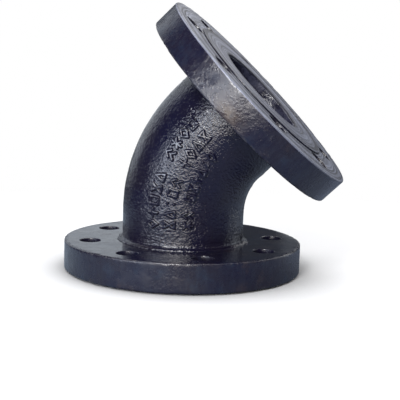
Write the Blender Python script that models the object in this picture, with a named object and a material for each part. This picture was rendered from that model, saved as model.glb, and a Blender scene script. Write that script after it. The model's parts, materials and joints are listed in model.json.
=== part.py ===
"""A 45-degree flanged pipe elbow in cast iron, for 4-inch pipe, standing on its base flange.

The elbow is one casting. Its regions are separate solids here: the curved pipe wall, the two drilled
flanges, and the machined raised face on each flange. Neighbouring solids keep a small gap.

Metres, +Z up. The bend lies in the XZ plane and leans towards +X. The origin is the middle of the
bounding box's underside, so the base flange's axis is the vertical line X = BASE_X.
"""

import math

import bmesh
import bpy
from mathutils import Matrix, Vector

INCH = 0.0254

# Driving dimensions: the heavy 10-inch flange pattern of 4-inch pipe.
BORE_RADIUS = 4.0 * INCH / 2
FLANGE_RADIUS = 10.0 * INCH / 2
FLANGE_THICKNESS = 1.25 * INCH  # over the raised face
RAISED_FACE_RADIUS = 6.9375 * INCH / 2
RAISED_FACE_HEIGHT = INCH / 16
BOLT_CIRCLE_RADIUS = 7.875 * INCH / 2
BOLT_HOLE_RADIUS = 0.875 * INCH / 2
BOLT_COUNT = 8
CENTRE_TO_FACE = 4.5 * INCH  # from where the two pipe axes cross to each joint face
BEND_ANGLE = math.radians(45)
BEND_RADIUS = 0.122
WALL = 0.0142
FILLET = 0.007  # between the pipe wall and a flange's back
FOOT_SHARE = 0.8  # how much of the fillet's reach is kept on the flange's back
RIM_ROUND = 0.0014  # rounding of the flanges' outer corners
BORE_CHAMFER = 0.0008
GAP = 0.0003

# Facets
PIPE_SIDES = 48
RIM_SIDES = 72
HOLE_SIDES = 20
BEND_STEPS = 9
FILLET_STEPS = 4
ROUND_STEPS = 2
SHARP_ANGLE = math.radians(30)  # corners steeper than this are shaded sharp
MERGE_DISTANCE = 1e-6

# Worked out from the above
PIPE_RADIUS = BORE_RADIUS + WALL
TANGENT = CENTRE_TO_FACE - BEND_RADIUS * math.tan(BEND_ANGLE / 2)  # from a joint face to the bend
LINE_LENGTH = 2 * TANGENT + BEND_RADIUS * BEND_ANGLE
FOOT_RADIUS = PIPE_RADIUS + FOOT_SHARE * FILLET  # where the fillet is cut short, at the flange's back
RIM_FRONT = CENTRE_TO_FACE - RAISED_FACE_HEIGHT
RIGHT_EDGE = (  # how far the outlet flange's rounded corner reaches from the base flange's axis
    (RIM_FRONT - RIM_ROUND) * math.sin(BEND_ANGLE)
    + (FLANGE_RADIUS - RIM_ROUND) * math.cos(BEND_ANGLE)
    + RIM_ROUND
)
BASE_X = (FLANGE_RADIUS - RIGHT_EDGE) / 2


def clear_scene():
    for obj in list(bpy.data.objects):
        bpy.data.objects.remove(obj)


def coat(name, colour, roughness, metallic):
    """A Principled material."""
    material = bpy.data.materials.new(name)
    material.use_nodes = True
    shader = material.node_tree.nodes["Principled BSDF"]
    shader.inputs["Base Color"].default_value = (*colour, 1)
    shader.inputs["Roughness"].default_value = roughness
    shader.inputs["Metallic"].default_value = metallic
    return material


def finished(bm, name):
    """The bmesh as mesh data, faces pointing out, shaded smooth but for sharp corners."""
    bmesh.ops.recalc_face_normals(bm, faces=bm.faces)
    mesh = bpy.data.meshes.new(name)
    bm.to_mesh(mesh)
    bm.free()
    mesh.shade_smooth()
    mesh.set_sharp_from_angle(angle=SHARP_ANGLE)
    return mesh


def place(name, mesh, frame, material):
    """Adds an object holding this mesh, with this material, standing in that frame."""
    obj = bpy.data.objects.new(name, mesh)
    bpy.context.collection.objects.link(obj)
    obj.parent = frame
    if not mesh.materials:
        mesh.materials.append(material)
    return obj


def joint_frame(name, matrix):
    """An empty at the middle of a joint face, its +Z pointing out of the pipe."""
    frame = bpy.data.objects.new(name, None)
    bpy.context.collection.objects.link(frame)
    frame.matrix_world = matrix
    return frame


def line_frame(distance):
    """The frame on the pipe's centre line this far from the base face, +Z along the flow."""
    upright = Matrix.Translation((BASE_X, 0, min(distance, TANGENT)))
    turned = min(max(distance - TANGENT, 0) / BEND_RADIUS, BEND_ANGLE)
    centre = Matrix.Translation((BEND_RADIUS, 0, 0))
    bend = centre @ Matrix.Rotation(turned, 4, "Y") @ centre.inverted()
    past = max(distance - TANGENT - BEND_RADIUS * BEND_ANGLE, 0)
    return upright @ bend @ Matrix.Translation((0, 0, past))


def quarter_round(centre, radius, start, steps):
    """Points of a quarter circle in a (radius, height) profile, clockwise from an angle in degrees."""
    angles = [math.radians(start - 90 * step / steps) for step in range(steps + 1)]
    return [centre + radius * Vector((math.cos(a), math.sin(a))) for a in angles]


def turned_ring(profile, sides):
    """A closed (radius, height) profile spun about Z into a ring."""
    bm = bmesh.new()
    points = [bm.verts.new((radius, 0, height)) for radius, height in profile]
    edges = [bm.edges.new((points[i - 1], points[i])) for i in range(len(points))]
    turn = 2 * math.pi
    bmesh.ops.spin(bm, geom=points + edges, axis=(0, 0, 1), angle=turn, steps=sides, use_merge=True)
    bmesh.ops.remove_doubles(bm, verts=bm.verts, dist=MERGE_DISTANCE)
    return bm


def flange_profile():
    """The flange's section, its joint face up at height 0, without the raised face.

    Both of its flat sides have a shallow seat, GAP deep, for the solid that stands on them.
    """
    front = -RAISED_FACE_HEIGHT
    back = -FLANGE_THICKNESS
    corner = FLANGE_RADIUS - RIM_ROUND
    face_seat = RAISED_FACE_RADIUS + GAP
    foot_seat = FOOT_RADIUS + GAP
    return [
        (BORE_RADIUS, front - GAP),
        (face_seat, front - GAP),
        (face_seat, front),
        *quarter_round(Vector((corner, front - RIM_ROUND)), RIM_ROUND, 90, ROUND_STEPS),
        *quarter_round(Vector((corner, back + RIM_ROUND)), RIM_ROUND, 0, ROUND_STEPS),
        (foot_seat, back),
        (foot_seat, back + GAP),
        (BORE_RADIUS, back + GAP),
    ]


def raised_face_profile():
    """The raised face's section, with a small chamfer at the mouth of the bore."""
    return [
        (BORE_RADIUS, -RAISED_FACE_HEIGHT),
        (BORE_RADIUS, -BORE_CHAMFER),
        (BORE_RADIUS + BORE_CHAMFER, 0),
        (RAISED_FACE_RADIUS, 0),
        (RAISED_FACE_RADIUS, -RAISED_FACE_HEIGHT),
    ]


def bolt_drills():
    """Eight cylinders, longer than the flange is thick, straddling the plane of the bend."""
    bm = bmesh.new()
    first = Matrix.Translation((BOLT_CIRCLE_RADIUS, 0, -FLANGE_THICKNESS / 2))
    for index in range(BOLT_COUNT):
        angle = 2 * math.pi * (index + 0.5) / BOLT_COUNT
        at = Matrix.Rotation(angle, 4, "Z") @ first
        bmesh.ops.create_cone(
            bm,
            cap_ends=True,
            segments=HOLE_SIDES,
            radius1=BOLT_HOLE_RADIUS,
            radius2=BOLT_HOLE_RADIUS,
            depth=2 * FLANGE_THICKNESS,
            matrix=at,
        )
    return bm


def drilled(flange, drills):
    """Cuts the bolt holes from a flange."""
    cut = flange.modifiers.new("bolt holes", "BOOLEAN")
    cut.operation = "DIFFERENCE"
    cut.solver = "EXACT"
    cut.object = drills
    drills.hide_render = True
    drills.display_type = "WIRE"


def flare(distance, towards):
    """The fillet from a flange's back out to the pipe, as (radius, distance along the centre line)."""
    points = []
    for step in range(FILLET_STEPS + 1):
        angle = math.pi / 2 * step / FILLET_STEPS
        reach = FILLET * (1 - math.cos(angle))
        points.append((PIPE_RADIUS + FILLET * (1 - math.sin(angle)), distance + towards * reach))
    points[0] = (FOOT_RADIUS, distance)
    return points


def wall_profile():
    """The straightened pipe wall's section, with a row of points at every step of the bend."""
    foot = FLANGE_THICKNESS
    head = LINE_LENGTH - FLANGE_THICKNESS
    bend = [TANGENT + BEND_RADIUS * BEND_ANGLE * step / BEND_STEPS for step in range(BEND_STEPS + 1)]
    outside = flare(foot, 1) + [(PIPE_RADIUS, distance) for distance in bend] + flare(head, -1)[::-1]
    inside = [(BORE_RADIUS, distance) for distance in (head, *reversed(bend), foot)]
    return outside + inside


def pipe_wall():
    """The pipe wall, turned straight and then laid along the centre line."""
    bm = turned_ring(wall_profile(), PIPE_SIDES)
    for vert in bm.verts:
        distance = vert.co.z
        vert.co = line_frame(distance) @ Vector((vert.co.x, vert.co.y, 0))
    return bm


def build():
    clear_scene()
    black_paint = coat("black_paint", (0.010, 0.010, 0.022), 0.30, 0.0)
    machined_face = coat("machined_face", (0.17, 0.18, 0.21), 0.40, 0.3)
    base = joint_frame("base_joint", line_frame(0) @ Matrix.Rotation(math.pi, 4, "Y"))
    outlet = joint_frame("outlet_joint", line_frame(LINE_LENGTH))
    flange = finished(turned_ring(flange_profile(), RIM_SIDES), "flange")
    raised_face = finished(turned_ring(raised_face_profile(), RIM_SIDES), "raised_face")
    drills = finished(bolt_drills(), "bolt_drills")
    for end, frame in (("base", base), ("outlet", outlet)):
        ring = place(f"{end}_flange", flange, frame, black_paint)
        drilled(ring, place(f"{end}_drills", drills, frame, black_paint))
        place(f"{end}_raised_face", raised_face, frame, machined_face)
    place("elbow_body", finished(pipe_wall(), "elbow_body"), None, black_paint)


build()
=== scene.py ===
"""The looks of the cast-iron pipe elbow: its fine surface, coating, machined faces and studio.

Every piece here stands for one CAD node and rides on the CAD body. Metres, +Z up. A flange's own
frame has its origin in the middle of the joint face and +Z out of the pipe. Along the pipe, a place
is the distance from the base's joint face, and an angle round the centre line that is 0 on the side
the bend turns towards and -90 degrees on the side with the casting marks.
"""

import json
import math

import bmesh
import bpy
import numpy as np
from mathutils import Matrix, Vector, noise

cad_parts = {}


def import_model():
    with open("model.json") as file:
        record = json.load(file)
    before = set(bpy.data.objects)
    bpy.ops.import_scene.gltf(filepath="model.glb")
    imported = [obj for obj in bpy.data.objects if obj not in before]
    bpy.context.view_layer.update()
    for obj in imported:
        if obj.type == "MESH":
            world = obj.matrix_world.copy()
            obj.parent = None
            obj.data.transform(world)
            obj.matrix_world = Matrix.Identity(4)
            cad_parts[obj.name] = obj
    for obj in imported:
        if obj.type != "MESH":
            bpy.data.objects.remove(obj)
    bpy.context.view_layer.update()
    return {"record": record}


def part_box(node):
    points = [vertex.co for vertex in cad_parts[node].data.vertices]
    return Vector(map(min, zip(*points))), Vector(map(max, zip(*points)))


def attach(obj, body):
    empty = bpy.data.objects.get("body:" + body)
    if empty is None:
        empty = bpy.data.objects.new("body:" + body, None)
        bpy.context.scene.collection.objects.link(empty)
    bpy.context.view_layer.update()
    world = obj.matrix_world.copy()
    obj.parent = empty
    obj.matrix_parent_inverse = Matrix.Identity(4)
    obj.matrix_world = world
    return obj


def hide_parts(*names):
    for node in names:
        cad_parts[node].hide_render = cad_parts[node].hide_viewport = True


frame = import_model()

MM = 0.001

# ---------------------------------------------------------------- sizes, worked out from the frame


def mount(name):
    """A mount's point and axis."""
    found = next(m for m in frame["record"]["mounts"] if m["name"] == name)
    return Vector(found["pos_m"]), Vector(found["axis"]).normalized()


flange_low, flange_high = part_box("base_flange")
face_low, face_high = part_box("base_raised_face")
outlet_point, outlet_axis = mount("outlet_joint_face")

BASE_X = (flange_low.x + flange_high.x) / 2
FLANGE_RADIUS = (flange_high.x - flange_low.x) / 2
THICKNESS = mount("base_nut_face")[0].z  # of a flange, over its raised face
FACE_RADIUS = (face_high.x - face_low.x) / 2
FACE_HEIGHT = flange_low.z  # of the raised face
BEND = math.atan2(outlet_axis.x, outlet_axis.z)
CROSSING = outlet_point.z - (outlet_point.x - BASE_X) / math.tan(BEND)  # height where the axes cross

BORE_RADIUS = 50.8 * MM
WALL = 14.2 * MM
PIPE_RADIUS = BORE_RADIUS + WALL
BEND_RADIUS = 122 * MM
BOLT_CIRCLE = 100.0125 * MM
HOLE_RADIUS = 11.1125 * MM
HOLES = 8
RIM_ROUND = 1.4 * MM
FILLET = 4 * MM
SUNK = 0.5 * MM  # how deep a piece reaches into its neighbour, so that no gap shows

TANGENT = CROSSING - BEND_RADIUS * math.tan(BEND / 2)  # from a joint face to the bend
LINE_LENGTH = 2 * TANGENT + BEND_RADIUS * BEND
FOOT = THICKNESS  # where the pipe wall leaves the base flange's back, along the line
HEAD = LINE_LENGTH - THICKNESS  # where it meets the outlet flange's back

FRONT = -math.pi / 2  # the angle of the side with the marks

# The as-cast skin
LUMP_SIZE = 16 * MM  # from one large lump to the next
GRAIN_SIZE = 3.4 * MM
LUMP_HEIGHT = 0.22 * MM
GRAIN_HEIGHT = 0.07 * MM
BORE_LUMP_HEIGHT = 0.35 * MM
GRAIN_SHIFT = 1.0  # moves the noise, so that the grain doesn't repeat the large lumps

# ---------------------------------------------------------------- shapes

WELD_DISTANCE = 0.001 * MM
STATION_SAMPLES = 4000


def smooth_step(value):
    """0 below 0, 1 above 1 and smooth between."""
    t = np.clip(value, 0, 1)
    return t * t * (3 - 2 * t)


def lumps(points, size, octaves=3):
    """Noise of about -1 to 1 at each point, its largest lumps about this far apart."""
    return np.array([noise.fractal(Vector(p / size), 1.0, 2.0, octaves) for p in points])


def line_points(distance):
    """Points of the pipe's centre line, and the unit vector from each towards angle 0."""
    turned = np.clip((distance - TANGENT) / BEND_RADIUS, 0, BEND)
    before = np.minimum(distance, TANGENT)
    after = np.maximum(distance - TANGENT - BEND_RADIUS * BEND, 0)
    x = BASE_X + BEND_RADIUS * (1 - np.cos(turned)) + after * math.sin(BEND)
    z = before + BEND_RADIUS * np.sin(turned) + after * math.cos(BEND)
    zero = np.zeros_like(distance)
    return np.stack([x, zero, z], -1), np.stack([np.cos(turned), zero, -np.sin(turned)], -1)


def around_line(distance, angle, radius):
    """Points at these distances, angles and radii, each an array of one shape."""
    centre, side = line_points(distance)
    out = np.cos(angle)[..., None] * side
    out[..., 1] += np.sin(angle)
    return centre + radius[..., None] * out


def stations(start, end, spacing):
    """Values from start to end whose steps follow spacing, a function of the value."""
    fine = np.linspace(start, end, STATION_SAMPLES)
    density = 1 / spacing(fine)
    total = np.concatenate([[0], np.cumsum((density[1:] + density[:-1]) / 2 * np.diff(fine))])
    count = int(round(total[-1]))
    return np.interp(np.linspace(0, total[-1], count + 1), total, fine)


def grid_faces(rows, columns, joined, first):
    """Quads between rows of points, each row a loop. If joined, the last row meets the first."""
    index = first + np.arange(rows * columns).reshape(rows, columns)
    if joined:
        index = np.vstack([index, index[:1]])
    index = np.hstack([index, index[:, :1]])
    quads = [index[:-1, :-1], index[1:, :-1], index[1:, 1:], index[:-1, 1:]]
    return np.stack(quads, -1).reshape(-1, 4)


class Skin:
    """A surface put together from rows of points, welded where they meet."""

    def __init__(self):
        self.points = []
        self.faces = []
        self.slots = []
        self.count = 0

    def add(self, points, slot, joined=False):
        """Adds rows of points. The slot is one material's number, or one for each face."""
        rows, columns = points.shape[:2]
        faces = grid_faces(rows, columns, joined, self.count)
        self.points.append(points.reshape(-1, 3))
        self.faces.append(faces)
        self.slots.append(np.full(len(faces), slot) if np.isscalar(slot) else slot)
        self.count += rows * columns

    def mesh(self, name, materials):
        data = bpy.data.meshes.new(name)
        data.from_pydata(np.vstack(self.points).tolist(), [], np.vstack(self.faces).tolist())
        for material in materials:
            data.materials.append(material)
        data.polygons.foreach_set("material_index", np.concatenate(self.slots).astype(np.int32))
        weld(data)
        return data


def weld(data):
    """Joins points that lie on each other, and turns all faces outwards."""
    bm = bmesh.new()
    bm.from_mesh(data)
    bmesh.ops.remove_doubles(bm, verts=bm.verts, dist=WELD_DISTANCE)
    bmesh.ops.recalc_face_normals(bm, faces=bm.faces)
    bm.to_mesh(data)
    bm.free()


def coordinates(data):
    values = np.empty(len(data.vertices) * 3)
    data.vertices.foreach_get("co", values)
    return values.reshape(-1, 3)


def move_to(data, points):
    data.vertices.foreach_set("co", points.ravel())
    data.update()


def normals(data):
    values = np.empty(len(data.vertices) * 3, np.float32)
    data.vertices.foreach_get("normal", values)
    return values.reshape(-1, 3).astype(float)


def mark(data, name, values):
    """Stores one number for each point, for the materials to read."""
    attribute = data.attributes.new(name, "FLOAT", "POINT")
    attribute.data.foreach_set("value", values.astype(np.float32))


def mark_place(data, name, points):
    """Stores a place for each point, for the materials to read."""
    attribute = data.attributes.new(name, "FLOAT_VECTOR", "POINT")
    attribute.data.foreach_set("vector", points.astype(np.float32).ravel())


def bore_lumps(points):
    """How far the rough wall of the bore lies outside its nominal radius at each point."""
    return BORE_LUMP_HEIGHT * lumps(points, LUMP_SIZE)


def piece(name, data, node):
    """The finished mesh as a piece that stands for a CAD node."""
    data.shade_smooth()
    obj = bpy.data.objects.new(name, data)
    bpy.context.scene.collection.objects.link(obj)
    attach(obj, "root")
    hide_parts(node)
    return obj


# ---------------------------------------------------------------- casting marks

# Each sign is a few strokes in a square from -1 to 1, x along the row and y across it.
SIGNS = {
    "diamond": [[(-1, 0), (0, 1), (1, 0), (0, -1), (-1, 0)]],
    "triangle": [[(-1, -0.9), (0, 0.9), (1, -0.9), (-1, -0.9)]],
    "square": [[(-0.9, -0.8), (0.9, -0.8), (0.9, 0.8), (-0.9, 0.8), (-0.9, -0.8)]],
    "plus": [[(-1, 0), (1, 0)], [(0, -0.9), (0, 0.9)]],
    "chevrons": [[(-1, -0.9), (0, -0.1), (1, -0.9)], [(-1, 0.1), (0, 0.9), (1, 0.1)]],
    "hourglass": [[(-0.9, -0.9), (0.9, -0.9), (-0.9, 0.9), (0.9, 0.9), (-0.9, -0.9)]],
    "star": [[(-0.9, -0.6), (0.9, 0.6)], [(-0.9, 0.6), (0.9, -0.6)], [(0, -1), (0, 1)]],
    "dots": [[(0, -0.6), (0, -0.6)], [(0, 0.6), (0, 0.6)]],
    "gap": [],
}
ROWS = [
    "diamond plus square hourglass triangle gap chevrons star diamond square",
    "hourglass triangle dots square chevrons gap plus diamond triangle hourglass",
    "star chevrons gap square hourglass plus triangle dots diamond",
]
MARKS_START = 58 * MM  # along the pipe, to the middle of each row's first sign
MARKS_PITCH = 10.9 * MM
MARK_REACH = 8 * MM  # no part of a sign is further than this from its middle
MARKS_MIDDLE = -2 * MM  # the middle row, round the pipe
ROW_SPACING = 18 * MM
SIGN_SIZE = Vector((3.5, 5.6)) * MM  # half of a sign's length and height
STROKE = 2.5 * MM
STROKE_SLOPE = 0.36 * MM  # half the width of a stroke's sloping side
CALM_MARGIN = 1.6 * MM  # smoother skin round a stroke
MARK_HEIGHT = 2.5 * MM


def stroke_distance(x, y, start, end):
    """How far the points x, y are from a straight stroke."""
    along = Vector(end) - Vector(start)
    length_squared = max(along.length_squared, 1e-12)  # a dot's stroke has no length
    t = np.clip(((x - start[0]) * along.x + (y - start[1]) * along.y) / length_squared, 0, 1)
    return np.hypot(x - start[0] - t * along.x, y - start[1] - t * along.y)


def casting_marks(distance, arc):
    """How high the marks stand at each place, and how smooth they leave the skin round them, 0 to 1."""
    nearest = np.ones(distance.shape)  # a metre, so far from every stroke
    for row, signs in enumerate(ROWS):
        across = arc - MARKS_MIDDLE - (row - 1) * ROW_SPACING
        for number, name in enumerate(signs.split()):
            x = distance - MARKS_START - number * MARKS_PITCH
            close = (np.abs(x) < MARK_REACH) & (np.abs(across) < MARK_REACH)
            for path in SIGNS[name]:
                ends = [(px * SIGN_SIZE.x, -py * SIGN_SIZE.y) for px, py in path]
                for start, end in zip(ends, ends[1:]):
                    found = stroke_distance(x[close], across[close], start, end)
                    nearest[close] = np.minimum(nearest[close], found)
    slope = (STROKE / 2 + STROKE_SLOPE - nearest) / (2 * STROKE_SLOPE)
    calm = smooth_step((STROKE / 2 + CALM_MARGIN - nearest) / CALM_MARGIN)
    return MARK_HEIGHT * smooth_step(slope), calm


# ---------------------------------------------------------------- pipe wall

# The bead at each end of the pipe, as (height over the flange's back, reach beyond the pipe wall)
BEAD = np.array([(0, 4.9), (0.4, 4.85), (0.8, 4.65), (1.05, 4.3), (1.15, 4.05)]) * MM
BEAD_HEIGHT = 1.2 * MM  # where the fillet starts
RAGGED_LUMPS = 0.7 * MM  # how uneven the bead is
RAGGED_GRAIN = 0.6 * MM
RAGGED_FROM = 1.5 * MM  # the unevenness fades from here up
RAGGED_FADE = 2 * MM

PARTING_WIDTH = 1.1 * MM  # of the ridge along each parting line
PARTING_HEIGHT = 0.28 * MM
PARTING_VARIES = 0.3 * MM
NUB_HEIGHT = 1.3 * MM  # where a parting line meets a flange
NUB_WIDTH = 3.2 * MM
NUB_LENGTH = 4 * MM
NUB_MIDDLE = 3 * MM  # above the flange's back

# Distances between neighbouring points of the grid
MARKED_STEP = 0.44 * MM
PARTING_STEP = 0.7 * MM
ROUND_STEP = 3 * MM
ALONG_STEP = 1.5 * MM
MARKED_HALF_WIDTH = 26 * MM  # of the band that holds the marks
MARKED_LENGTH = 9.8 * MARKS_PITCH  # from the first signs' middle on
PARTING_HALF_WIDTH = 4 * MM
BORE_ROWS = 32
FILLET_ROWS = 10


def foot_profile():
    """(height over a flange's back, reach beyond the pipe wall) of the bead and fillet at a pipe end."""
    angles = np.linspace(0, math.pi / 2, FILLET_ROWS)
    fillet = np.stack([BEAD_HEIGHT + FILLET * (1 - np.cos(angles)), FILLET * (1 - np.sin(angles))], -1)
    return np.vstack([[(-SUNK, BEAD[0, 1])], BEAD, fillet])


def from_parting_line(angle):
    """How far round the pipe each angle is from the nearer parting line."""
    return np.minimum(np.abs(angle), math.pi - np.abs(angle)) * PIPE_RADIUS


def column_angles():
    """Angles round the pipe, close together over the marks and the parting lines."""

    def spacing(angle):
        from_marks = np.abs(angle - FRONT - MARKS_MIDDLE / PIPE_RADIUS) * PIPE_RADIUS
        step = np.where(from_marks < MARKED_HALF_WIDTH, MARKED_STEP, ROUND_STEP)
        near_parting = from_parting_line(angle) < PARTING_HALF_WIDTH
        return np.where(near_parting, PARTING_STEP, step) / PIPE_RADIUS

    return stations(-math.pi, math.pi, spacing)[:-1]


def wall_rows():
    """The rows of points up the outside and those down the bore, each row as (distance, radius)."""
    foot = foot_profile()
    top_of_fillet = foot[-1, 0]

    def spacing(distance):
        after_start = distance > MARKS_START - MARK_REACH
        before_end = distance < MARKS_START + MARKED_LENGTH
        return np.where(after_start & before_end, MARKED_STEP, ALONG_STEP)

    straight = stations(FOOT + top_of_fillet, HEAD - top_of_fillet, spacing)[1:-1]
    outside = np.vstack(
        [
            np.stack([FOOT + foot[:, 0], PIPE_RADIUS + foot[:, 1]], -1),
            np.stack([straight, np.full(len(straight), PIPE_RADIUS)], -1),
            np.stack([HEAD - foot[::-1, 0], PIPE_RADIUS + foot[::-1, 1]], -1),
        ]
    )
    bore_distances = np.linspace(HEAD + SUNK, FOOT - SUNK, BORE_ROWS)
    inside = np.stack([bore_distances, np.full(BORE_ROWS, BORE_RADIUS)], -1)
    return outside, inside


def hump(offset, width):
    """1 at offset 0, falling smoothly to about a third at this width."""
    return np.exp(-((offset / width) ** 2))


def body_piece(materials):
    """The pipe wall with its marks, parting ridges and ragged beads, and its share of the bore."""
    angles = column_angles()
    outside, inside = wall_rows()
    rows = np.vstack([outside, inside])
    distance, angle = np.meshgrid(rows[:, 0], angles, indexing="ij")
    radius = np.repeat(rows[:, 1:], len(angles), 1)
    is_outside = np.repeat(np.arange(len(rows))[:, None] < len(outside), len(angles), 1)

    plain = around_line(distance, angle, radius).reshape(-1, 3)
    coarse = lumps(plain, LUMP_SIZE).reshape(radius.shape)
    fine = lumps(plain + GRAIN_SHIFT, GRAIN_SIZE, 2).reshape(radius.shape)
    arc = (angle - FRONT) * PIPE_RADIUS
    from_back = np.minimum(distance - FOOT, HEAD - distance)
    from_parting = from_parting_line(angle)

    rough = LUMP_HEIGHT * coarse + GRAIN_HEIGHT * fine
    ridge = hump(from_parting, PARTING_WIDTH) * (PARTING_HEIGHT + PARTING_VARIES * coarse)
    nub = NUB_HEIGHT * hump(from_parting, NUB_WIDTH) * hump(from_back - NUB_MIDDLE, NUB_LENGTH)
    ragged = RAGGED_LUMPS * coarse + RAGGED_GRAIN * fine
    ragged *= smooth_step(1 - (from_back - RAGGED_FROM) / RAGGED_FADE)
    raised, calm = casting_marks(distance, arc)
    radius += np.where(is_outside, rough + ridge + nub + ragged + raised, BORE_LUMP_HEIGHT * coarse)

    skin = Skin()
    slots = np.repeat(np.arange(len(rows)) >= len(outside) - 1, len(angles)).astype(int)
    skin.add(around_line(distance, angle, radius), slots, joined=True)
    data = skin.mesh("elbow_body_casting", materials)
    mark(data, "calm", np.where(is_outside, calm, 0).ravel())
    return piece("elbow_body_casting", data, "elbow_body")


# ---------------------------------------------------------------- flanges


def flange_frame(point, outward, side):
    """The frame of a flange whose joint face has this middle and outward axis."""
    up = Vector(outward)
    x = Vector(side)
    y = up.cross(x)
    matrix = Matrix((x, y, up)).transposed().to_4x4()
    matrix.translation = point
    return matrix


BASE_FRAME = flange_frame((BASE_X, 0, 0), (0, 0, -1), (1, 0, 0))
OUTLET_FRAME = flange_frame(
    (outlet_point.x, 0, outlet_point.z), outlet_axis, (math.cos(BEND), 0, -math.sin(BEND))
)

ARC_STEPS = 44  # along an arc of one hole's sector
RADIAL_STEPS = 16
CORNER_STEPS = 4
HALF_SECTOR = math.pi / HOLES
INNER_LAND = 84 * MM  # radius where the drilled ring meets the plain one
PLAIN_RADII = [INNER_LAND, 74 * MM, 62 * MM, BORE_RADIUS]
FLAT_SHARES = [1, 0.8, 0.6, 0.42, 0.27, 0.15, 0.06, 0.02]  # from a sector's outline, 1, to its hole, 0
HOLE_ROWS = 12
RIM_ROWS = 15
LAND_ROWS = 18  # along the flange's share of the bore
HOLE_ROUND = 0.7 * MM
STAIN_ANGLE = math.radians(-90)
STAIN_DEPTH = 25 * MM  # below the joint face
STAIN_LENGTH = 15 * MM
STAIN_HEIGHT = 8 * MM

# The wear and waviness of a flange
WAVE_SIZE = 30 * MM
WAVE_HEIGHT = 0.06 * MM
RIM_WAVE_HEIGHT = 0.1 * MM
KNOCK_SIZE = 9 * MM
KNOCK_DEPTH = 0.5 * MM
KNOCK_START = 0.25  # the noise at which a corner starts to be knocked
KNOCK_STEEPNESS = 3
KNOCK_SHIFT = 3.0  # moves the noise, so that the knocks don't repeat the waves
CORNER_REACH = 3.2 * MM  # how far from a corner its wear ends
FACE_BLEND = 1 * MM


def rounding(steps=CORNER_STEPS):
    """(1 - sine, 1 - cosine) of the angles of a quarter circle, from 0 up."""
    angles = [math.pi / 2 * k / steps for k in range(steps + 1)]
    return [(1 - math.sin(a), 1 - math.cos(a)) for a in angles]


def polar(radius, height, angles):
    """Rows of points at these radii and heights, one column for each angle."""
    r = np.asarray(radius)[:, None]
    z = np.asarray(height)[:, None] + 0 * angles
    return np.stack([r * np.cos(angles), r * np.sin(angles), z], -1)


def sector_outline():
    """The outline of one hole's sector, its hole at angle 0, as a closed loop of points."""
    outer = FLANGE_RADIUS - RIM_ROUND
    arc = np.linspace(-HALF_SECTOR, HALF_SECTOR, ARC_STEPS + 1)
    radial = np.linspace(INNER_LAND, outer, RADIAL_STEPS + 1)
    sides = [
        np.stack([INNER_LAND * np.cos(arc), INNER_LAND * np.sin(arc)], -1),
        np.stack([radial * math.cos(HALF_SECTOR), radial * math.sin(HALF_SECTOR)], -1),
        np.stack([outer * np.cos(arc[::-1]), outer * np.sin(arc[::-1])], -1),
        np.stack([radial[::-1] * math.cos(HALF_SECTOR), -radial[::-1] * math.sin(HALF_SECTOR)], -1),
    ]
    return np.vstack([side[:-1] for side in sides])


def drilled_sector(front, back):
    """Front face, hole and back face of one sector, as rows of points round the hole."""
    outline = sector_outline()
    middle = np.array([BOLT_CIRCLE, 0])
    away = outline - middle
    away /= np.linalg.norm(away, axis=1)[:, None]
    edge = middle + away * (HOLE_RADIUS + HOLE_ROUND)
    rows = []

    def add_row(ring, height):
        rows.append(np.column_stack([ring, np.full(len(ring), height)]))

    def flat(share, height):
        add_row(edge + (outline - edge) * share, height)

    def collar(radius, height):
        add_row(middle + away * radius, height)

    for share in FLAT_SHARES:
        flat(share, front)
    for wider, lower in rounding():
        collar(HOLE_RADIUS + HOLE_ROUND * wider, front - HOLE_ROUND * lower)
    for height in np.linspace(front - HOLE_ROUND, back + HOLE_ROUND, HOLE_ROWS)[1:-1]:
        collar(HOLE_RADIUS, height)
    for wider, higher in reversed(rounding()):
        collar(HOLE_RADIUS + HOLE_ROUND * wider, back + HOLE_ROUND * higher)
    for share in reversed(FLAT_SHARES):
        flat(share, back)
    return np.array(rows)


def turned(points, angle):
    """The points turned about Z."""
    c, s = math.cos(angle), math.sin(angle)
    x, y = points[..., 0], points[..., 1]
    return np.stack([c * x - s * y, s * x + c * y, points[..., 2]], -1)


PAINT, TURNED_FACE, BORE = range(3)


def flange_skin(bare_corner):
    """A drilled flange in its own frame, without the raised face."""
    front, back = -FACE_HEIGHT, -THICKNESS
    skin = Skin()
    sector = drilled_sector(front, back)
    strips = np.full((len(sector) - 1, sector.shape[1]), PAINT)
    strips[: len(FLAT_SHARES) - 1] = TURNED_FACE
    for hole in range(HOLES):
        skin.add(turned(sector, (2 * hole + 1) * HALF_SECTOR), strips.ravel())

    angles = np.linspace(0, 2 * math.pi, HOLES * ARC_STEPS, endpoint=False)
    heights = np.linspace(front - RIM_ROUND, back + RIM_ROUND, RIM_ROWS)
    rim = [(FLANGE_RADIUS - RIM_ROUND * inset, front - RIM_ROUND * drop) for inset, drop in rounding()]
    rim += [(FLANGE_RADIUS, height) for height in heights[1:-1]]
    rim += [(FLANGE_RADIUS - RIM_ROUND * inset, back + RIM_ROUND * rise) for rise, inset in rounding()]
    radii, levels = zip(*rim)
    strips = np.full(len(radii) - 1, PAINT)
    strips[:CORNER_STEPS] = TURNED_FACE if bare_corner else PAINT
    skin.add(polar(radii, levels, angles), np.repeat(strips, len(angles)))

    skin.add(polar(PLAIN_RADII, [front] * len(PLAIN_RADII), angles), TURNED_FACE)
    skin.add(polar(PLAIN_RADII, [back] * len(PLAIN_RADII), angles), PAINT)
    levels = np.linspace(front, back, LAND_ROWS)
    skin.add(polar([BORE_RADIUS] * LAND_ROWS, levels, angles), BORE)
    return skin


def to_world(matrix, points):
    m = np.array(matrix)
    return points @ m[:3, :3].T + m[:3, 3]


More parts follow.
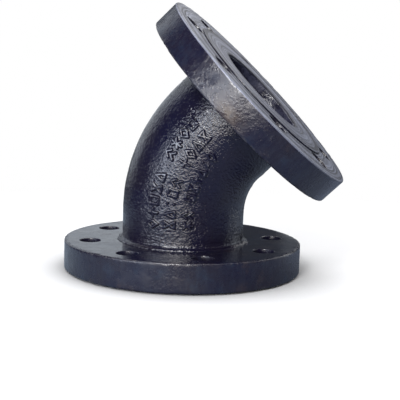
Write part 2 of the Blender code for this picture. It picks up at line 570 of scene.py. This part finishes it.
def rust_stain(local):
    """1 in the middle of a brown stain on the rim's back half, fading to 0 round it."""
    arc = (np.arctan2(local[:, 1], local[:, 0]) - STAIN_ANGLE) * FLANGE_RADIUS
    return hump(arc, STAIN_LENGTH) * hump(local[:, 2] + STAIN_DEPTH, STAIN_HEIGHT)


def flange_piece(name, node, matrix, materials, bare_corner, sandy):
    """One flange. Its front corner may be turned bare, and sandy is how rough its coating is, 0 to 1."""
    data = flange_skin(bare_corner).mesh(name, materials)
    local = coordinates(data)
    out = normals(data)
    world = to_world(matrix, local)
    radius = np.hypot(local[:, 0], local[:, 1])
    depth = -FACE_HEIGHT - local[:, 2]
    rim_depth = THICKNESS - FACE_HEIGHT

    waves = lumps(world, WAVE_SIZE)
    knocks = lumps(world + KNOCK_SHIFT, KNOCK_SIZE, 2)
    from_corner = np.hypot(FLANGE_RADIUS - radius, np.minimum(depth, rim_depth - depth))
    near_corner = smooth_step(1 - from_corner / CORNER_REACH)
    on_front = smooth_step(1 - depth / FACE_BLEND) * (radius < FLANGE_RADIUS - 2 * RIM_ROUND)
    on_back = smooth_step(1 - (rim_depth - depth) / FACE_BLEND) * (radius < FLANGE_RADIUS - RIM_ROUND)
    on_rim = smooth_step((radius - FLANGE_RADIUS + 2 * RIM_ROUND) / RIM_ROUND)
    in_bore = radius < BORE_RADIUS + FACE_BLEND
    amount = waves * (WAVE_HEIGHT * (1 - on_front) + RIM_WAVE_HEIGHT * on_rim)
    amount -= KNOCK_DEPTH * near_corner * smooth_step((knocks - KNOCK_START) * KNOCK_STEEPNESS)
    amount = np.where(in_bore, -bore_lumps(world), amount)
    local += out * amount[:, None]
    move_to(data, to_world(matrix, local))
    mark(data, "worn", near_corner * (depth > rim_depth / 2))
    mark(data, "corner", near_corner * (depth < rim_depth / 2))
    mark(data, "back", on_back)
    mark(data, "sandy", np.full(len(local), sandy))
    mark(data, "stain", rust_stain(local))
    mark_place(data, "turning", local)
    return piece(name, data, node)


MOUTH_ROUND = 1.2 * MM  # where the raised face meets the bore
MOUTH_STEPS = 6
EDGE_ROUND = 0.35 * MM
EDGE_STEPS = 3
GROOVE_DEPTH = 0.09 * MM
GROOVE_PITCH = 1.6 * MM
FACE_STEP = 0.4 * MM
FACE_SIDES = 256
PLAIN_INSIDE = 2 * MM  # ungrooved width beside the bore
PLAIN_OUTSIDE = 1 * MM
GROOVE_FADE = 1 * MM
ON_BORE = 0.01 * MM  # a point this near the bore's radius counts as on the bore


def raised_face_profile():
    """(radius, height) points round the gasket face's section, from the bore over the grooves."""
    inner = BORE_RADIUS + MOUTH_ROUND
    outer = FACE_RADIUS - EDGE_ROUND
    root = -FACE_HEIGHT - SUNK
    flat = np.linspace(inner, outer, int((outer - inner) / FACE_STEP))
    grooved = smooth_step((flat - inner - PLAIN_INSIDE) / GROOVE_FADE)
    grooved *= smooth_step((outer - PLAIN_OUTSIDE - flat) / GROOVE_FADE)
    cut = GROOVE_DEPTH * grooved * (0.5 - 0.5 * np.cos(2 * math.pi * (flat - inner) / GROOVE_PITCH))
    mouth = rounding(MOUTH_STEPS)[:-1]
    edge = rounding(EDGE_STEPS)[1:]
    profile = [(BORE_RADIUS, root)]
    profile += [(BORE_RADIUS + MOUTH_ROUND * out, -MOUTH_ROUND * down) for down, out in mouth]
    profile += list(zip(flat, -cut))
    profile += [(FACE_RADIUS - EDGE_ROUND * inset, -EDGE_ROUND * drop) for inset, drop in edge]
    profile += [(FACE_RADIUS, root)]
    return profile


def raised_face_piece(name, node, matrix, materials):
    """The gasket face, with shallow grooves turned into it."""
    radii, heights = zip(*raised_face_profile())
    angles = np.linspace(0, 2 * math.pi, FACE_SIDES, endpoint=False)
    skin = Skin()
    strips = np.zeros(len(radii), int)
    strips[-EDGE_STEPS - 1 :] = 1
    skin.add(polar(radii, heights, angles), np.repeat(strips, len(angles)), joined=True)
    data = skin.mesh(name, materials)
    local = coordinates(data)
    world = to_world(matrix, local)
    in_bore = np.hypot(local[:, 0], local[:, 1]) < BORE_RADIUS + ON_BORE
    local[in_bore, :2] *= (1 + bore_lumps(world[in_bore]) / BORE_RADIUS)[:, None]
    move_to(data, to_world(matrix, local))
    for quality in ("worn", "corner", "back", "stain"):
        mark(data, quality, np.zeros(len(local)))
    mark(data, "sandy", np.ones(len(local)))
    mark_place(data, "turning", local)
    return piece(name, data, node)


# ---------------------------------------------------------------- materials


class Nodes:
    """Short calls for building a material's node tree."""

    def __init__(self, name):
        self.material = bpy.data.materials.new(name)
        self.material.use_nodes = True
        self.tree = self.material.node_tree
        self.shader = self.tree.nodes["Principled BSDF"]

    def link(self, source, target):
        self.tree.links.new(source, target)

    def set(self, socket, value):
        """Puts a number, a colour or another node's output into a socket."""
        if isinstance(value, bpy.types.NodeSocket):
            self.link(value, socket)
        elif isinstance(value, (tuple, Vector)) and len(value) == 3 and socket.type == "RGBA":
            socket.default_value = (*value, 1)
        else:
            socket.default_value = value

    def node(self, kind, inputs=(), **settings):
        made = self.tree.nodes.new(kind)
        for name, value in settings.items():
            setattr(made, name, value)
        for key, value in dict(inputs).items():
            self.set(made.inputs[key], value)
        return made

    def maths(self, operation, a, b=0.0):
        return self.node("ShaderNodeMath", {0: a, 1: b}, operation=operation).outputs[0]

    def vector(self, operation, a, b=(0, 0, 0)):
        made = self.node("ShaderNodeVectorMath", {0: a, 1: b}, operation=operation)
        return made.outputs["Value" if operation == "LENGTH" else "Vector"]

    def place(self):
        return self.node("ShaderNodeTexCoord").outputs["Object"]

    def attribute(self, name, output):
        return self.node("ShaderNodeAttribute", attribute_name=name).outputs[output]

    def grain(self, place, size, detail=2.0, roughness=0.5):
        """Noise from 0 to 1, its grains about this size in metres."""
        inputs = {"Vector": place, "Scale": 1 / size, "Detail": detail, "Roughness": roughness}
        return self.node("ShaderNodeTexNoise", inputs).outputs["Fac"]

    def ramp(self, value, low, high, start, end):
        """Maps value from low..high to start..end, and holds it there."""
        inputs = {"Value": value, "From Min": low, "From Max": high, "To Min": start, "To Max": end}
        return self.node("ShaderNodeMapRange", inputs).outputs["Result"]

    def mix(self, share, a, b):
        made = self.node("ShaderNodeMix", data_type="RGBA")
        for key, value in ((0, share), (6, a), (7, b)):
            self.set(made.inputs[key], value)
        return made.outputs[2]

    def bump(self, height, distance, under=None):
        inputs = {"Height": height, "Distance": distance, "Strength": 1.0}
        if under is not None:
            inputs["Normal"] = under
        return self.node("ShaderNodeBump", inputs).outputs["Normal"]

    def finish(self, colour, roughness, normal, **constants):
        self.set(self.shader.inputs["Base Color"], colour)
        self.set(self.shader.inputs["Roughness"], roughness)
        self.set(self.shader.inputs["Normal"], normal)
        for name, value in constants.items():
            self.shader.inputs[name.replace("_", " ")].default_value = value
        return self.material


BLUE_BLACK = (0.0037, 0.0034, 0.0145)
WARM_BLACK = (0.0066, 0.0050, 0.0122)
BRUSHED = (0.013, 0.015, 0.026)
BROWNED = (0.042, 0.027, 0.024)
BLUED = (0.012, 0.021, 0.040)
RUST = (0.026, 0.013, 0.008)
SCUFFED = (0.060, 0.056, 0.060)
DARK_BAND = (0.010, 0.011, 0.021)
BRIGHT_BAND = (0.165, 0.178, 0.235)
CLOUDED = (0.032, 0.033, 0.053)
# Painted shade: the dark colour of the ring along the raised face's step.
STEP_SHADE = (0.014, 0.013, 0.022)
# Partly bare turned iron, partly a painted highlight along the flange's front corner.
BARE_CORNER_AND_HIGHLIGHT = (0.10, 0.106, 0.14)
BORE_DARK = (0.009, 0.009, 0.020)
BORE_LIGHT = (0.036, 0.038, 0.066)


def cast_coat():
    """Thick black coating over sand-cast iron."""
    n = Nodes("cast_coat")
    place = n.place()
    cloud = n.grain(place, 40 * MM, 3.0)
    sand = n.maths("SUBTRACT", n.grain(place, 2.2 * MM, 2.0, 0.55), 0.5)
    pits = n.maths("SUBTRACT", n.grain(place, 5 * MM, 2.0, 0.6), 0.5)
    open_skin = n.ramp(n.attribute("calm", "Fac"), 0.1, 0.9, 1.0, 0.3)
    colour = n.mix(n.ramp(cloud, 0.35, 0.7, 0.0, 1.0), BLUE_BLACK, WARM_BLACK)
    roughness = n.ramp(n.grain(place, 9 * MM, 4.0), 0.3, 0.7, 0.08, 0.16)
    normal = n.bump(n.maths("MULTIPLY", pits, open_skin), 0.5 * MM)
    normal = n.bump(n.maths("MULTIPLY", sand, open_skin), 0.75 * MM, normal)
    return n.finish(colour, roughness, normal, IOR=1.55)


def flange_coat():
    """The coating on a flange's rim and back, brushed on and worn at the corners."""
    n = Nodes("flange_coat")
    place = n.place()
    turning = n.attribute("turning", "Vector")
    cloud = n.grain(place, 34 * MM, 4.0, 0.6)
    streaked = n.vector("MULTIPLY", turning, (1, 1, 0.2))
    streaks = n.grain(streaked, 3.0 * MM, 3.0, 0.6)
    scuffs = n.grain(place, 4.5 * MM, 5.0, 0.65)
    blotches = n.grain(n.vector("ADD", place, (0.3, 0.1, 0.2)), 22 * MM, 5.0, 0.65)
    edge = n.ramp(n.attribute("worn", "Fac"), 0.2, 0.9, 0.0, 0.7)
    worn = n.maths("MULTIPLY", n.ramp(scuffs, 0.50, 0.68, 0.0, 1.0), edge)
    colour = n.mix(n.ramp(cloud, 0.35, 0.65, 0.0, 1.0), BLUE_BLACK, WARM_BLACK)
    colour = n.mix(n.ramp(streaks, 0.45, 0.75, 0.0, 0.5), colour, BRUSHED)
    colour = n.mix(n.ramp(blotches, 0.57, 0.74, 0.0, 0.4), colour, BROWNED)
    colour = n.mix(n.ramp(blotches, 0.46, 0.30, 0.0, 0.4), colour, BLUED)
    stain = n.maths("MULTIPLY", n.attribute("stain", "Fac"), n.ramp(scuffs, 0.35, 0.60, 0.4, 1.0))
    colour = n.mix(stain, colour, RUST)
    colour = n.mix(worn, colour, SCUFFED)
    roughness = n.ramp(n.grain(place, 12 * MM, 5.0, 0.65), 0.3, 0.7, 0.20, 0.36)
    roughness = n.maths("ADD", roughness, n.maths("MULTIPLY", worn, 0.2))
    peel = n.grain(place, 7 * MM, 3.0, 0.55)
    sand = n.grain(place, 2.4 * MM, 3.0, 0.6)
    back = n.attribute("back", "Fac")
    roughness = n.maths("MULTIPLY", roughness, n.ramp(back, 0.0, 1.0, 1.0, 0.6))
    rough_skin = n.maths("MULTIPLY", sand, n.ramp(blotches, 0.45, 0.62, 0.18, 1.0))
    rough_skin = n.maths("MULTIPLY", rough_skin, n.ramp(back, 0.0, 1.0, 1.0, 0.35))
    rough_skin = n.maths("MULTIPLY", rough_skin, n.attribute("sandy", "Fac"))
    normal = n.bump(peel, 0.12 * MM)
    normal = n.bump(rough_skin, 0.75 * MM, normal)
    return n.finish(colour, roughness, normal, IOR=1.55)


def turned_face():
    """Iron faced on a lathe, with a thin dark film over its rings."""
    n = Nodes("turned_face")
    turning = n.attribute("turning", "Vector")
    flat = n.vector("MULTIPLY", turning, (1, 1, 0))
    radius = n.vector("LENGTH", flat)
    ringed = n.node("ShaderNodeCombineXYZ", {"X": radius}).outputs[0]
    wobble = n.vector("ADD", ringed, n.vector("MULTIPLY", flat, (0.012, 0.012, 0)))
    fine = n.grain(wobble, 0.55 * MM, 2.0)
    bands = n.grain(wobble, 8 * MM, 4.0, 0.75)
    cloud = n.grain(n.place(), 16 * MM, 5.0, 0.65)
    colour = n.mix(n.ramp(bands, 0.45, 0.56, 0.0, 1.0), DARK_BAND, BRIGHT_BAND)
    colour = n.mix(n.ramp(cloud, 0.46, 0.66, 0.0, 0.65), colour, CLOUDED)
    # Painted shade: a dark ring on both sides of the raised face's step deepens the step's line.
    from_step = n.maths("ABSOLUTE", n.maths("SUBTRACT", radius, FACE_RADIUS))
    colour = n.mix(n.ramp(from_step, 0.6 * MM, 1.8 * MM, 0.85, 0.0), colour, STEP_SHADE)
    # The front corner is lightened: bare turned iron, and also a painted highlight along the corner.
    corner = n.ramp(n.attribute("corner", "Fac"), 0.60, 0.95, 0.0, 0.5)
    colour = n.mix(corner, colour, BARE_CORNER_AND_HIGHLIGHT)
    roughness = n.ramp(bands, 0.42, 0.60, 0.56, 0.32)
    roughness = n.maths("ADD", roughness, n.maths("MULTIPLY", corner, 0.4))
    normal = n.bump(fine, 0.05 * MM)
    return n.finish(colour, roughness, normal, Metallic=0.3)


def bore_coat():
    """The rough inside of the casting."""
    n = Nodes("bore_coat")
    place = n.place()
    sand = n.grain(place, 3.2 * MM, 3.0, 0.65)
    clots = n.grain(place, 11 * MM, 3.0, 0.6)
    colour = n.mix(n.ramp(clots, 0.4, 0.7, 0.0, 1.0), BORE_DARK, BORE_LIGHT)
    roughness = n.ramp(clots, 0.3, 0.7, 0.20, 0.36)
    normal = n.bump(clots, 1.2 * MM)
    normal = n.bump(sand, 0.5 * MM, normal)
    return n.finish(colour, roughness, normal, IOR=1.5)


# ---------------------------------------------------------------- studio

VIEW_AZIMUTH, VIEW_ELEVATION = 9.73, 8.52  # degrees
VIEW_ROLL = math.radians(1.77)
VIEW_DISTANCE = 1.055
VIEW_TARGET = Vector((BASE_X + 0.0178, 0, 0.0755))
LENS = 88.34  # focal length in mm, on a sensor 36 mm wide
SENSOR_WIDTH = 36


def direction(azimuth, elevation):
    """The unit vector at these degrees: azimuth 0 in front and positive to the right."""
    a, e = math.radians(azimuth), math.radians(elevation)
    return Vector((math.sin(a) * math.cos(e), -math.cos(a) * math.cos(e), math.sin(e)))


def camera():
    """Looks from the front, a little above and to the right of the middle of the side with the marks."""
    back = direction(VIEW_AZIMUTH, VIEW_ELEVATION)
    data = bpy.data.cameras.new("camera")
    data.lens = LENS
    data.sensor_width = SENSOR_WIDTH
    obj = bpy.data.objects.new("camera", data)
    bpy.context.scene.collection.objects.link(obj)
    turn = back.to_track_quat("Z", "Y").to_matrix() @ Matrix.Rotation(VIEW_ROLL, 3, "Z")
    obj.matrix_world = Matrix.Translation(VIEW_TARGET + back * VIEW_DISTANCE) @ turn.to_4x4()
    bpy.context.scene.camera = obj


WHITE = (1.0, 1.0, 1.0)
COOL = (0.86, 0.93, 1.0)
HEART = Vector((0, 0, 0.13))  # of the object, where the lamps round it are aimed


def softbox(name, place, aim, size, radiance, colour):
    """A rectangular studio lamp that shines at aim, hidden from the camera."""
    data = bpy.data.lights.new(name, "AREA")
    data.shape = "RECTANGLE"
    data.size, data.size_y = size
    data.energy = radiance * math.pi * size[0] * size[1]
    data.color = colour
    obj = bpy.data.objects.new(name, data)
    bpy.context.scene.collection.objects.link(obj)
    obj.location = place
    obj.rotation_euler = (Vector(place) - Vector(aim)).to_track_quat("Z", "Y").to_euler()
    obj.visible_camera = False


def lights():
    def around(azimuth, elevation, distance):
        return HEART + distance * direction(azimuth, elevation)

    softbox("window", around(-37, 6.5, 1.2), HEART, (0.82, 0.28), 9.5, (0.90, 0.97, 1.10))
    softbox("key", around(1, 4.5, 1.2), HEART, (0.82, 0.28), 9.0, (1.03, 0.99, 0.96))
    softbox("lamp", around(-4, 30, 1.1), HEART, (0.3, 0.3), 44.0, WHITE)
    softbox("top", (0.35, 0.4, 1.3), (0, 0, 0), (2.2, 2.2), 2.7, WHITE)
    softbox("back_card", (-0.45, 1.16, 0.27), HEART, (0.42, 0.3), 0.8, COOL)
    softbox("far_card", around(173, 1, 1.3), HEART, (0.36, 0.2), 0.4, COOL)
    softbox("wall", around(-131, 19, 1.2), HEART, (0.6, 1.0), 0.95, COOL)
    softbox("right_card", around(127, 8, 1.3), HEART, (0.5, 0.8), 1.6, COOL)


def world():
    """White behind the object, a dim room in its reflections and an even soft light on the floor."""
    made = bpy.data.worlds.new("studio")
    made.use_nodes = True
    tree = made.node_tree
    tree.nodes.clear()

    def light(colour, strength):
        shader = tree.nodes.new("ShaderNodeBackground")
        shader.inputs["Color"].default_value = (*colour, 1)
        shader.inputs["Strength"].default_value = strength
        return shader.outputs[0]

    def choose(condition, otherwise, chosen):
        mix = tree.nodes.new("ShaderNodeMixShader")
        tree.links.new(condition, mix.inputs[0])
        tree.links.new(otherwise, mix.inputs[1])
        tree.links.new(chosen, mix.inputs[2])
        return mix.outputs[0]

    path = tree.nodes.new("ShaderNodeLightPath")
    room = light((0.75, 0.85, 1.0), 0.07)
    sky = light(WHITE, 0.25)
    backdrop = light(WHITE, 1.0)
    around = choose(path.outputs["Is Diffuse Ray"], room, sky)
    shown = choose(path.outputs["Is Camera Ray"], around, backdrop)
    out = tree.nodes.new("ShaderNodeOutputWorld")
    tree.links.new(shown, out.inputs[0])
    bpy.context.scene.world = made


FLOOR_RADIUS = 1.2
FADE_START, FADE_END = 0.30, 0.62  # distance from the origin where the floor fades out
# Painted shadow on the floor: how far it reaches and the tones it goes between.
SHADOW_REACH = 120 * MM
SHADOW_TONE = (0.36, 0.36, 0.365)
PAPER_TONE = (0.64, 0.64, 0.65)
# Painted light and shade: the floor's colour seen in reflections is lighter at the left, darker in the
# middle and lighter again at the right, standing in for how the floor was lit.
LEFT_TONE = (0.24, 0.29, 0.35)  # of the light that the floor throws back on the object, along X
MIDDLE_TONE = (0.11, 0.13, 0.17)
RIGHT_TONE = (0.17, 0.20, 0.27)
TOUCHING = 3 * MM


def floor():
    """A pale disc that fades out, so that the floor has no edge.

    It lets light through from below, so that the base's underside isn't black when seen from there.
    """
    bm = bmesh.new()
    bmesh.ops.create_circle(bm, cap_ends=True, segments=64, radius=FLOOR_RADIUS)
    data = bpy.data.meshes.new("floor")
    bm.to_mesh(data)
    bm.free()
    obj = bpy.data.objects.new("floor", data)
    bpy.context.scene.collection.objects.link(obj)
    n = Nodes("floor")
    n.tree.nodes.remove(n.shader)
    # Painted shadow: the floor's colour darkens towards SHADOW_TONE where the object hides the sky close
    # by.
    occlusion = {"Distance": SHADOW_REACH}
    open_sky = n.node("ShaderNodeAmbientOcclusion", occlusion, samples=12).outputs["AO"]
    tone = n.mix(n.ramp(open_sky, 0.45, 0.97, 0.0, 1.0), SHADOW_TONE, PAPER_TONE)
    paper = n.node("ShaderNodeBsdfDiffuse", {"Color": tone}).outputs[0]
    # Painted light and shade along X, seen only in reflections.
    across = n.node("ShaderNodeSeparateXYZ", {"Vector": n.place()}).outputs["X"]
    shade = n.mix(n.ramp(across, -0.05, 0.12, 0.0, 1.0), LEFT_TONE, MIDDLE_TONE)
    shade = n.mix(n.ramp(across, 0.14, 0.20, 0.0, 1.0), shade, RIGHT_TONE)
    dim = n.node("ShaderNodeBsdfDiffuse", {"Color": shade}).outputs[0]
    path = n.node("ShaderNodeLightPath")
    seen = path.outputs["Is Camera Ray"]
    solid = n.node("ShaderNodeMixShader", {0: seen, 1: dim, 2: paper}).outputs[0]
    clear = n.node("ShaderNodeBsdfTransparent").outputs[0]
    far = n.ramp(n.vector("LENGTH", n.place()), FADE_START, FADE_END, 0.0, 1.0)
    under = n.node("ShaderNodeNewGeometry").outputs["Backfacing"]
    touching = n.maths("LESS_THAN", path.outputs["Ray Length"], TOUCHING)
    hidden = n.maths("MAXIMUM", n.maths("MAXIMUM", far, under), touching)
    shown = n.node("ShaderNodeMixShader", {0: hidden, 1: solid, 2: clear}).outputs[0]
    n.link(shown, n.tree.nodes["Material Output"].inputs["Surface"])
    data.materials.append(n.material)


def studio():
    camera()
    lights()
    world()
    floor()
    bpy.context.scene.view_settings.view_transform = "Standard"


def build():
    cast, coat, turned_iron, bore = cast_coat(), flange_coat(), turned_face(), bore_coat()
    body_piece([cast, bore])
    ends = [("base", BASE_FRAME, False, 0.45), ("outlet", OUTLET_FRAME, True, 1.0)]
    for end, matrix, bare_corner, sandy in ends:
        name, node = f"{end}_flange_casting", f"{end}_flange"
        flange_piece(name, node, matrix, [coat, turned_iron, bore], bare_corner, sandy)
        raised_face_piece(f"{end}_gasket_face", f"{end}_raised_face", matrix, [turned_iron, coat])
    studio()


build()
